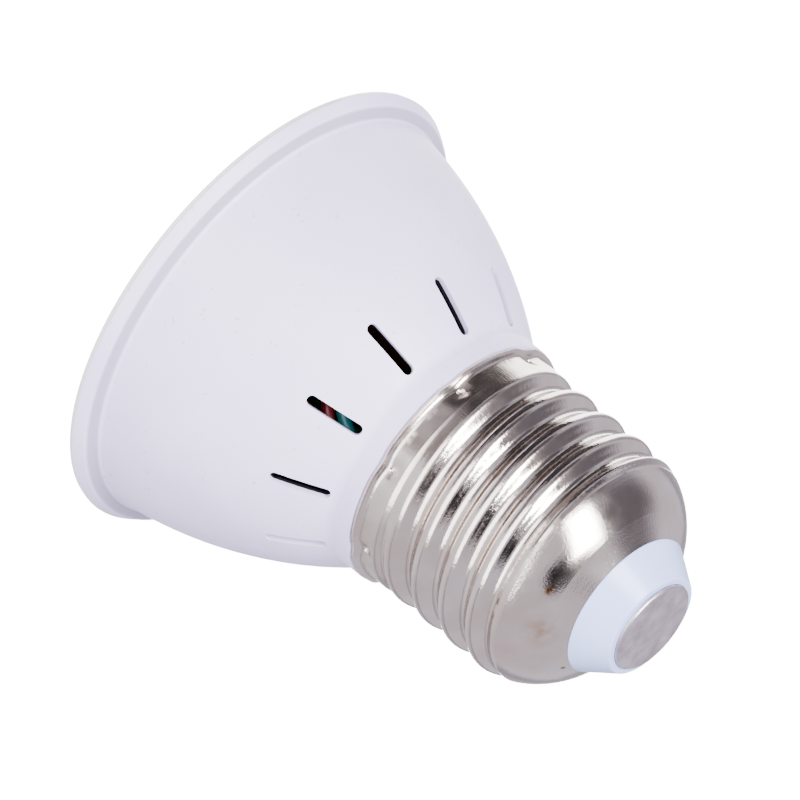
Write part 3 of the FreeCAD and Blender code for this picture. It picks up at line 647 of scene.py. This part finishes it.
class Finish(Enum):
    """The finishes of the bulb, one for each kind of real surface."""

    CUP = MouldedCup()
    PLATE = NickelPlate()
    LAMINATE = GlassLaminate()
    # A bluish white, glossier than the cup, with hardly any grain.
    INSULATOR = Moulding("PBT_blue_white_moulded", "#bccaff", "#b3c2fb", 0.24, 0.5, 0.0015)
    # Off-white and harder than the cup, so its small edges stay crisp.
    LED_BODY = Moulding("PPA_white_moulded", "#efeee9", "#e4e2da", 0.35, 0.2, 0.0015)
    # The turned head is dull and scuffed, so it shows a mottled mauve grey without clear reflections.
    CONTACT = Metal("tinned_brass_turned", "#d8ced4", "#a89ea4", 0.42, 0.3, 0.014)
    # Reflowed solder is bright and smooth, with a slightly frosted skin.
    SOLDER = Metal("tin_solder_reflowed", "#cfd0d2", "#a9abae", 0.22, 0.5, 0.01)
    # Bare pads catch the light as small warm glints under the resin.
    CHIP = Metal("gold_pads_on_chip", "#c9a94e", "#7b5a2c", 0.3, 0.2, 0.002)
    # Polished and clear, so the LEDs show through a faint sheen, softened a little.
    COVER = Clear("polycarbonate_clear_moulded", "#fbfcfd", "#f2f5f7", 0.08, 2.0, 0.004, 0.35)
    # A mask of even thickness, so it looks like semi-gloss paint.
    MASK = EvenFinish("solder_mask_white", "#eceded", "#e2e3e2", 0.4, 0.4, 0.004)
    # The same mask is warmer in tone where copper lies under it.
    COPPER = EvenFinish("solder_mask_over_copper", "#e3e1d9", "#d8d6cd", 0.38, 0.5, 0.004)
    # Cast silicone: a wet shine over the phosphor or the chip's colour.
    RED_RESIN = Gloss("silicone_over_red_chip", "#e2918a", "#c9554f", 0.12, 0.4, 0.002)
    BLUE_RESIN = Gloss("silicone_over_blue_chip", "#e6e7c9", "#cfd3e6", 0.12, 0.4, 0.002)
    # Dipped epoxy runs before it sets, so its skin is wavy and shiny.
    # Its dark red is partly painted shade: the red is deepened so it shows near black through the vents.
    FILM = Gloss("epoxy_dip_dark_red", "#36100d", "#2b0a08", 0.22, 1.2, 0.05)
    # Lacquer over ceramic: an even tan with soft highlights.
    RESISTOR = Gloss("lacquer_tan_on_ceramic", "#c9a877", "#b89664", 0.3, 0.7, 0.01)
    # Heat-shrunk and extruded sleeves: soft highlights on smooth plastic.
    DRUM = EvenFinish("PVC_sleeve_dark_blue", "#12203f", "#0d1830", 0.3, 0.8, 0.008)
    SLEEVE = EvenFinish("polyolefin_shrunk_black", "#1a1a1b", "#232325", 0.5, 0.9, 0.03)
    RED_WIRE = EvenFinish("PVC_dark_red_extruded", "#7a1220", "#650e1a", 0.38, 0.5, 0.006)
    TEAL_WIRE = EvenFinish("PVC_teal_extruded", "#0f6a70", "#0c585f", 0.38, 0.5, 0.006)
    WHITE_WIRE = EvenFinish("PVC_white_extruded", "#dcdcda", "#cfcfcc", 0.38, 0.5, 0.006)
    BLACK_WIRE = EvenFinish("PVC_black_extruded", "#1c1c1e", "#252528", 0.4, 0.5, 0.006)
    # Transfer-moulded epoxy comes out of a spark-eroded tool, so it is dull and fine grained.
    MOULD = EvenFinish("epoxy_mould_black", "#1b1b1c", "#242425", 0.5, 0.15, 0.006)
    # A cement coat is matt and grainy.
    FUSE = EvenFinish("cement_coat_grey_green", "#6f7c6c", "#5f6b5e", 0.6, 0.4, 0.02)


class Wardrobe:
    """Makes each finish once and hands it out."""

    def __init__(self) -> None:
        """Starts with no material made."""
        self.made: dict[Finish, bpy.types.Material] = {}

    def get(self, finish: Finish) -> bpy.types.Material:
        """Gives the material of a finish, made when it is first asked for.

        Args:
            finish: The finish.

        Returns:
            Its material.
        """
        if finish not in self.made:
            self.made[finish] = finish.value.make()
        return self.made[finish]


def round_box(size: Sequence[float], corner: float, segments: int = 2) -> bmesh.types.BMesh:
    """Makes a box centred on the origin with rounded edges.

    Args:
        size: Its three sizes in metres.
        corner: The edges' radius in metres.
        segments: How many faces each rounding has.

    Returns:
        The open mesh.
    """
    mesh = bmesh.new()
    bmesh.ops.create_cube(mesh, size=1.0)
    bmesh.ops.scale(mesh, vec=Vector(size), verts=mesh.verts)
    bmesh.ops.bevel(mesh, geom=list(mesh.edges), offset=corner, segments=segments, profile=0.5,
                    affect="EDGES", material=-1, clamp_overlap=True)
    return mesh


def repeated(mesh: bmesh.types.BMesh, places: Sequence[Matrix]) -> bmesh.types.BMesh:
    """Puts a moved copy of a mesh at each place.

    Args:
        mesh: The open mesh to repeat, which is freed.
        places: Where the copies go.

    Returns:
        One open mesh with all the copies.
    """
    whole = bmesh.new()
    for place in places:
        data = bpy.data.meshes.new("copy")
        mesh.to_mesh(data)
        data.transform(place)
        whole.from_mesh(data)
        bpy.data.meshes.remove(data)
    mesh.free()
    return whole


def finish_piece(
    name: str, mesh: bmesh.types.BMesh, material: bpy.types.Material, smooth: bool = True
) -> bpy.types.Object:
    """Turns an open mesh into a piece that rides on the bulb.

    Args:
        name: The piece's name.
        mesh: The open mesh, already in place.
        material: Its material.
        smooth: Whether its faces are shaded smooth.

    Returns:
        The new object.
    """
    bmesh.ops.remove_doubles(mesh, verts=mesh.verts, dist=SAME_POINT)
    bmesh.ops.recalc_face_normals(mesh, faces=mesh.faces)
    data = bpy.data.meshes.new(name)
    mesh.to_mesh(data)
    mesh.free()
    for polygon in data.polygons:
        polygon.use_smooth = smooth
    piece = bpy.data.objects.new(name, data)
    data.materials.append(material)
    bpy.context.scene.collection.objects.link(piece)
    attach(piece, "root")
    return piece


@dataclass
class Assembly:
    """A group of carried-over solids, each with its finish."""

    nodes: dict[str, bpy.types.Object]
    wardrobe: Wardrobe
    finishes: ClassVar[dict[str, Finish]] = {}

    def dress(self) -> list[str]:
        """Puts each solid's material in its slots.

        Returns:
            The solids' names.
        """
        for name, finish in self.finishes.items():
            for slot in self.nodes[name].material_slots:
                slot.material = self.wardrobe.get(finish)
        return list(self.finishes)

    def build(self) -> list[str]:
        """Adds the group's own fine pieces, if it has any, and returns their names."""
        return []


@dataclass
class Housing(Assembly):
    """The moulded cup and its clear front cover."""

    finishes: ClassVar[dict[str, Finish]] = {"lamp_cup": Finish.CUP, "front_cover": Finish.COVER}


@dataclass
class ScrewCap(Assembly):
    """The plated cap with its insulator and centre contact."""

    finishes: ClassVar[dict[str, Finish]] = {
        "screw_cap_shell": Finish.PLATE,
        "cap_insulator": Finish.INSULATOR,
        "centre_contact": Finish.CONTACT,
    }


@dataclass
class Driver(Assembly):
    """The driver board and its parts."""

    finishes: ClassVar[dict[str, Finish]] = {
        "driver_board": Finish.LAMINATE,
        "driver_board_joints": Finish.SOLDER,
        "film_capacitor": Finish.FILM,
        "smoothing_capacitor": Finish.DRUM,
        "bridge_rectifier": Finish.MOULD,
        "fuse_resistor": Finish.FUSE,
        "fuse_sleeve": Finish.SLEEVE,
        "bleed_resistor": Finish.RESISTOR,
        "discharge_resistor": Finish.RESISTOR,
    }


@dataclass
class Wiring(Assembly):
    """The four insulated wires."""

    finishes: ClassVar[dict[str, Finish]] = {
        "led_positive_wire": Finish.RED_WIRE,
        "led_negative_wire": Finish.TEAL_WIRE,
        "live_wire": Finish.WHITE_WIRE,
        "neutral_wire": Finish.BLACK_WIRE,
    }


@dataclass
class LightEngine(Assembly):
    """The LED board with its packages, their resin windows, chips, solder fillets and tracks."""

    finishes: ClassVar[dict[str, Finish]] = {
        "led_board": Finish.MASK,
        "led_board_joints": Finish.SOLDER,
        "red_leds": Finish.LED_BODY,
        "blue_leds": Finish.LED_BODY,
    }
    first_radius: float = 5.6 * MM
    ring_pitch: float = 4.2 * MM
    rings: int = 4
    leds_in_first: int = 6
    blue_every: int = 4
    length: float = 3.5 * MM
    width: float = 2.8 * MM
    height: float = 0.75 * MM
    window_length: float = 2.6 * MM
    window_width: float = 1.9 * MM
    window_depth: float = 0.15 * MM
    resin_share: float = 0.8
    resin_corner: float = 0.05 * MM
    chip_size: float = 0.55 * MM
    chip_height: float = 0.04 * MM
    chip_round: float = 0.25
    fillet_length_share: float = 0.8
    fillet_width: float = 0.28 * MM
    fillet_height: float = 0.22 * MM
    fillet_round: float = 0.4
    track_thickness: float = 0.035 * MM
    track_steps: int = 120

    def places(self, blue: bool) -> list[Matrix]:
        """Finds the packages of one colour.

        Args:
            blue: Whether the blue ones are wanted, otherwise the red ones.

        Returns:
            Their places on the board's front.
        """
        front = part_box("led_board")[0].z
        found = []
        for ring in range(self.rings):
            count = self.leds_in_first * (ring + 1)
            for index in range(count):
                if ((index + ring) % self.blue_every == 0) == blue:
                    turn = Matrix.Rotation(2 * math.pi * index / count, 4, "Z")
                    out = Matrix.Translation((self.first_radius + self.ring_pitch * ring, 0, front))
                    found.append(turn @ out)
        return found

    def windows(self, blue: bool) -> bpy.types.Object:
        """Fills the packages' windows with resin.

        Args:
            blue: Whether the blue packages are filled, otherwise the red ones.

        Returns:
            The new piece.
        """
        depth = self.window_depth * self.resin_share
        resin = round_box((self.window_width, self.window_length, depth), self.resin_corner)
        level = Matrix.Translation((0, 0, -self.height + self.window_depth - depth / 2))
        mesh = repeated(resin, [place @ level for place in self.places(blue)])
        colour = "blue" if blue else "red"
        finish = Finish.BLUE_RESIN if blue else Finish.RED_RESIN
        return finish_piece(f"{colour}_led_windows", mesh, self.wardrobe.get(finish))

    def chips(self) -> bpy.types.Object:
        """Makes the small chips that show in the windows.

        Returns:
            The new piece.
        """
        corner = self.chip_height * self.chip_round
        chip = round_box((self.chip_size, self.chip_size, self.chip_height), corner, 1)
        surface = self.window_depth * (1 - self.resin_share)
        level = Matrix.Translation((0, 0, -self.height + surface))
        mesh = repeated(chip, [place @ level for place in self.places(True) + self.places(False)])
        return finish_piece("led_chips", mesh, self.wardrobe.get(Finish.CHIP), False)

    def fillets(self) -> bpy.types.Object:
        """Makes the solder fillets at both ends of each package.

        Returns:
            The new piece.
        """
        size = (self.width * self.fillet_length_share, self.fillet_width, self.fillet_height)
        fillet = round_box(size, self.fillet_height * self.fillet_round, 3)
        reach = (self.length + self.fillet_width) / 2
        ends = [Matrix.Translation((0, side * reach, -self.fillet_height / 2)) for side in (-1, 1)]
        packages = self.places(True) + self.places(False)
        mesh = repeated(fillet, [place @ end for place in packages for end in ends])
        return finish_piece("led_solder_fillets", mesh, self.wardrobe.get(Finish.SOLDER))

    def tracks(self) -> bpy.types.Object:
        """Makes the raised copper tracks under the mask, one flat ring under each ring of packages.

        Returns:
            The new piece.
        """
        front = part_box("led_board")[0].z
        whole = bmesh.new()
        upright = Matrix.Rotation(math.pi / 2, 4, "X")
        size = Matrix.Diagonal((self.width, self.track_thickness, 1.0, 1.0))
        for ring in range(self.rings):
            radius = self.first_radius + self.ring_pitch * ring
            place = Matrix.Translation((radius, 0, front - self.track_thickness / 2)) @ upright @ size
            made = bmesh.ops.create_grid(whole, x_segments=1, y_segments=1, size=0.5, matrix=place)
            section = made["verts"]
            faces = [face for face in whole.faces if set(face.verts) == set(section)]
            bmesh.ops.delete(whole, geom=faces, context="FACES_ONLY")
            edges = [edge for edge in whole.edges if set(edge.verts) <= set(section)]
            bmesh.ops.spin(whole, geom=section + edges, cent=(0, 0, 0), axis=(0, 0, 1),
                           angle=2 * math.pi, steps=self.track_steps, use_merge=True, use_duplicate=False)
        masked = self.wardrobe.get(Finish.COPPER)
        return finish_piece("led_board_tracks", whole, masked, False)

    def build(self) -> list[str]:
        """Adds the fine pieces of the LED board.

        Returns:
            Their names.
        """
        pieces = [self.windows(True), self.windows(False), self.chips(), self.fillets(), self.tracks()]
        return [piece.name for piece in pieces]


@dataclass(frozen=True)
class Gap:
    """A round dark gap between the studio's panels, seen from the bulb, with its angles in degrees."""

    azimuth: float
    elevation: float
    reach: float
    edge: float
    strength: float

    def open_in(
        self, graph: Graph, way: bpy.types.NodeSocket, walls: bpy.types.NodeSocket | float
    ) -> bpy.types.NodeSocket:
        """Opens the gap in the walls.

        Args:
            graph: The world's graph.
            way: The direction that is looked in.
            walls: The walls' strength so far.

        Returns:
            The walls' strength with the gap.
        """
        towards = tuple(heading(self.azimuth, self.elevation))
        dot = graph.add("ShaderNodeVectorMath", {0: way, 1: towards}, "Value", operation="DOT_PRODUCT")
        outer = math.cos(math.radians(self.reach + self.edge))
        inner = math.cos(math.radians(self.reach - self.edge))
        mask = graph.add(
            "ShaderNodeMapRange",
            {"Value": dot, "From Min": outer, "From Max": inner},
            interpolation_type="SMOOTHSTEP",
        )
        return graph.add("ShaderNodeMix", {"Factor": mask, "A": walls, "B": self.strength})


class DarkGap(Enum):
    """The dark gaps that the plated cap mirrors."""

    LOW = Gap(-163.0, 6.0, 18.0, 8.0, 0.15)
    SIDE = Gap(163.0, 38.0, 26.0, 12.0, 0.22)
    TOP = Gap(-79.0, 63.0, 14.0, 6.0, 0.02)


@dataclass(frozen=True)
class Panel:
    """A flat panel that faces the bulb, with its angles in degrees and its sizes in metres."""

    azimuth: float
    elevation: float
    distance: float
    width: float
    height: float

    def facing(self, aim: Point) -> Matrix:
        """Works out the panel's place.

        Args:
            aim: The point that it faces, in metres.

        Returns:
            The place, with the panel's width level and its back away from the aim.
        """
        way = heading(self.azimuth, self.elevation)
        turn = way.to_track_quat("Z", "Y").to_matrix().to_4x4()
        return Matrix.Translation(Vector(aim) + way * self.distance) @ turn


@dataclass(frozen=True)
class Softbox(Panel):
    """A panel that gives an even light, with its power in watts."""

    power: float

    def hang(self, name: str, aim: Point) -> None:
        """Hangs the light.

        Args:
            name: The light's name.
            aim: The point that it faces, in metres.
        """
        data = bpy.data.lights.new(name, "AREA")
        data.shape = "RECTANGLE"
        data.size = self.width
        data.size_y = self.height
        data.energy = self.power
        lamp = bpy.data.objects.new(name, data)
        lamp.matrix_world = self.facing(aim)
        bpy.context.scene.collection.objects.link(lamp)


@dataclass(frozen=True)
class Flag(Panel):
    """A felt panel, black unless told otherwise, that the camera doesn't see and that casts no shadow."""

    colour: str = "#1b1919"
    shade: str = "#1f1d1d"

    def hang(self, name: str, aim: Point) -> None:
        """Hangs the flag.

        Args:
            name: The flag's name.
            aim: The point that it faces, in metres.
        """
        mesh = bmesh.new()
        size = Matrix.Diagonal((self.width, self.height, 1.0, 1.0))
        bmesh.ops.create_grid(mesh, x_segments=1, y_segments=1, size=0.5, matrix=self.facing(aim) @ size)
        data = bpy.data.meshes.new(name)
        mesh.to_mesh(data)
        mesh.free()
        felt = EvenFinish("wool_felt_pressed", self.colour, self.shade, 0.9, 0.3, 0.05)
        data.materials.append(felt.make())
        flag = bpy.data.objects.new(name, data)
        flag.visible_camera = False
        flag.visible_shadow = False
        bpy.context.scene.collection.objects.link(flag)


class Kit(Enum):
    """The soft lights and the felt flags, placed where the photograph's cap mirrors such panels."""

    KEY = Softbox(-139.0, 49.0, 1.2, 0.5, 0.85, 48.0)
    FRONT = Softbox(-80.0, 8.0, 1.3, 1.9, 0.9, 38.0)
    BEHIND = Softbox(118.0, -34.0, 0.27, 0.32, 0.12, 0.8)
    LOW_FLAG = Flag(-167.0, -38.0, 0.22, 0.3, 0.21)
    GREY_FLAG = Flag(-114.0, -31.0, 0.2, 0.17, 0.1, "#8f8a88", "#878280")
    UNDER_FLAG = Flag(130.0, -66.0, 0.18, 0.3, 0.1)


@dataclass
class Studio:
    """The camera at the photograph's angle, the pale floor and the soft lights."""

    camera_at: Point = (-0.224226, -1.003498, 0.514001)
    image_right: Point = (-0.543685, 0.465456, 0.698396)
    image_down: Point = (0.816308, 0.099867, 0.568919)
    lens_mm: float = 540.0
    sensor_mm: float = 36.0
    nearest: float = 0.05
    farthest: float = 60.0
    floor_size: float = 8.0
    floor_drop: float = 0.25
    walls: float = 1.15
    wall_tone: str = "#f3edff"
    aim: Point = (0.0, 0.0, 0.03)

    def camera(self) -> None:
        """Places the camera from the fitted view of the photograph."""
        data = bpy.data.cameras.new("camera")
        data.lens = self.lens_mm
        data.sensor_width = self.sensor_mm
        data.clip_start = self.nearest
        data.clip_end = self.farthest
        right = Vector(self.image_right).normalized()
        up = -Vector(self.image_down)
        back = right.cross(up).normalized()
        up = back.cross(right)
        turn = Matrix((right, up, back)).transposed().to_4x4()
        camera = bpy.data.objects.new("camera", data)
        camera.matrix_world = Matrix.Translation(self.camera_at) @ turn
        bpy.context.scene.collection.objects.link(camera)
        bpy.context.scene.camera = camera

    def floor(self) -> None:
        """Lays the plain pale floor, so far below the bulb that it casts no shadow there."""
        mesh = bmesh.new()
        level = Matrix.Translation((0, 0, -self.floor_drop))
        bmesh.ops.create_grid(mesh, x_segments=1, y_segments=1, size=self.floor_size / 2, matrix=level)
        data = bpy.data.meshes.new("floor")
        mesh.to_mesh(data)
        mesh.free()
        data.materials.append(Backdrop().make())
        floor = bpy.data.objects.new("floor", data)
        bpy.context.scene.collection.objects.link(floor)

    def room(self) -> None:
        """Surrounds the bulb with pale walls that have dark gaps between them."""
        world = bpy.data.worlds.new("studio")
        world.use_nodes = True
        bpy.context.scene.world = world
        graph = Graph(world.node_tree)
        way = graph.add("ShaderNodeTexCoord", {}, "Generated")
        strength = self.walls
        for gap in DarkGap:
            strength = gap.value.open_in(graph, way, strength)
        background = world.node_tree.nodes["Background"]
        background.inputs["Color"].default_value = linear(self.wall_tone)
        world.node_tree.links.new(strength, background.inputs["Strength"])

    def build(self) -> None:
        """Sets the whole studio up."""
        self.camera()
        self.floor()
        self.room()
        for panel in Kit:
            panel.value.hang(panel.name.lower(), self.aim)


def main() -> None:
    """Loads the frame, dresses the bulb and sets the studio."""
    logging.basicConfig(level=logging.INFO, format="%(name)s %(message)s")
    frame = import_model()
    wardrobe = Wardrobe()
    for group in (Housing, ScrewCap, LightEngine, Driver, Wiring):
        assembly = group(frame["nodes"], wardrobe)
        for name in assembly.dress() + assembly.build():
            LOG.info("%s: %s", group.__name__, name)
    Studio().build()


if __name__ == "__main__":
    main()
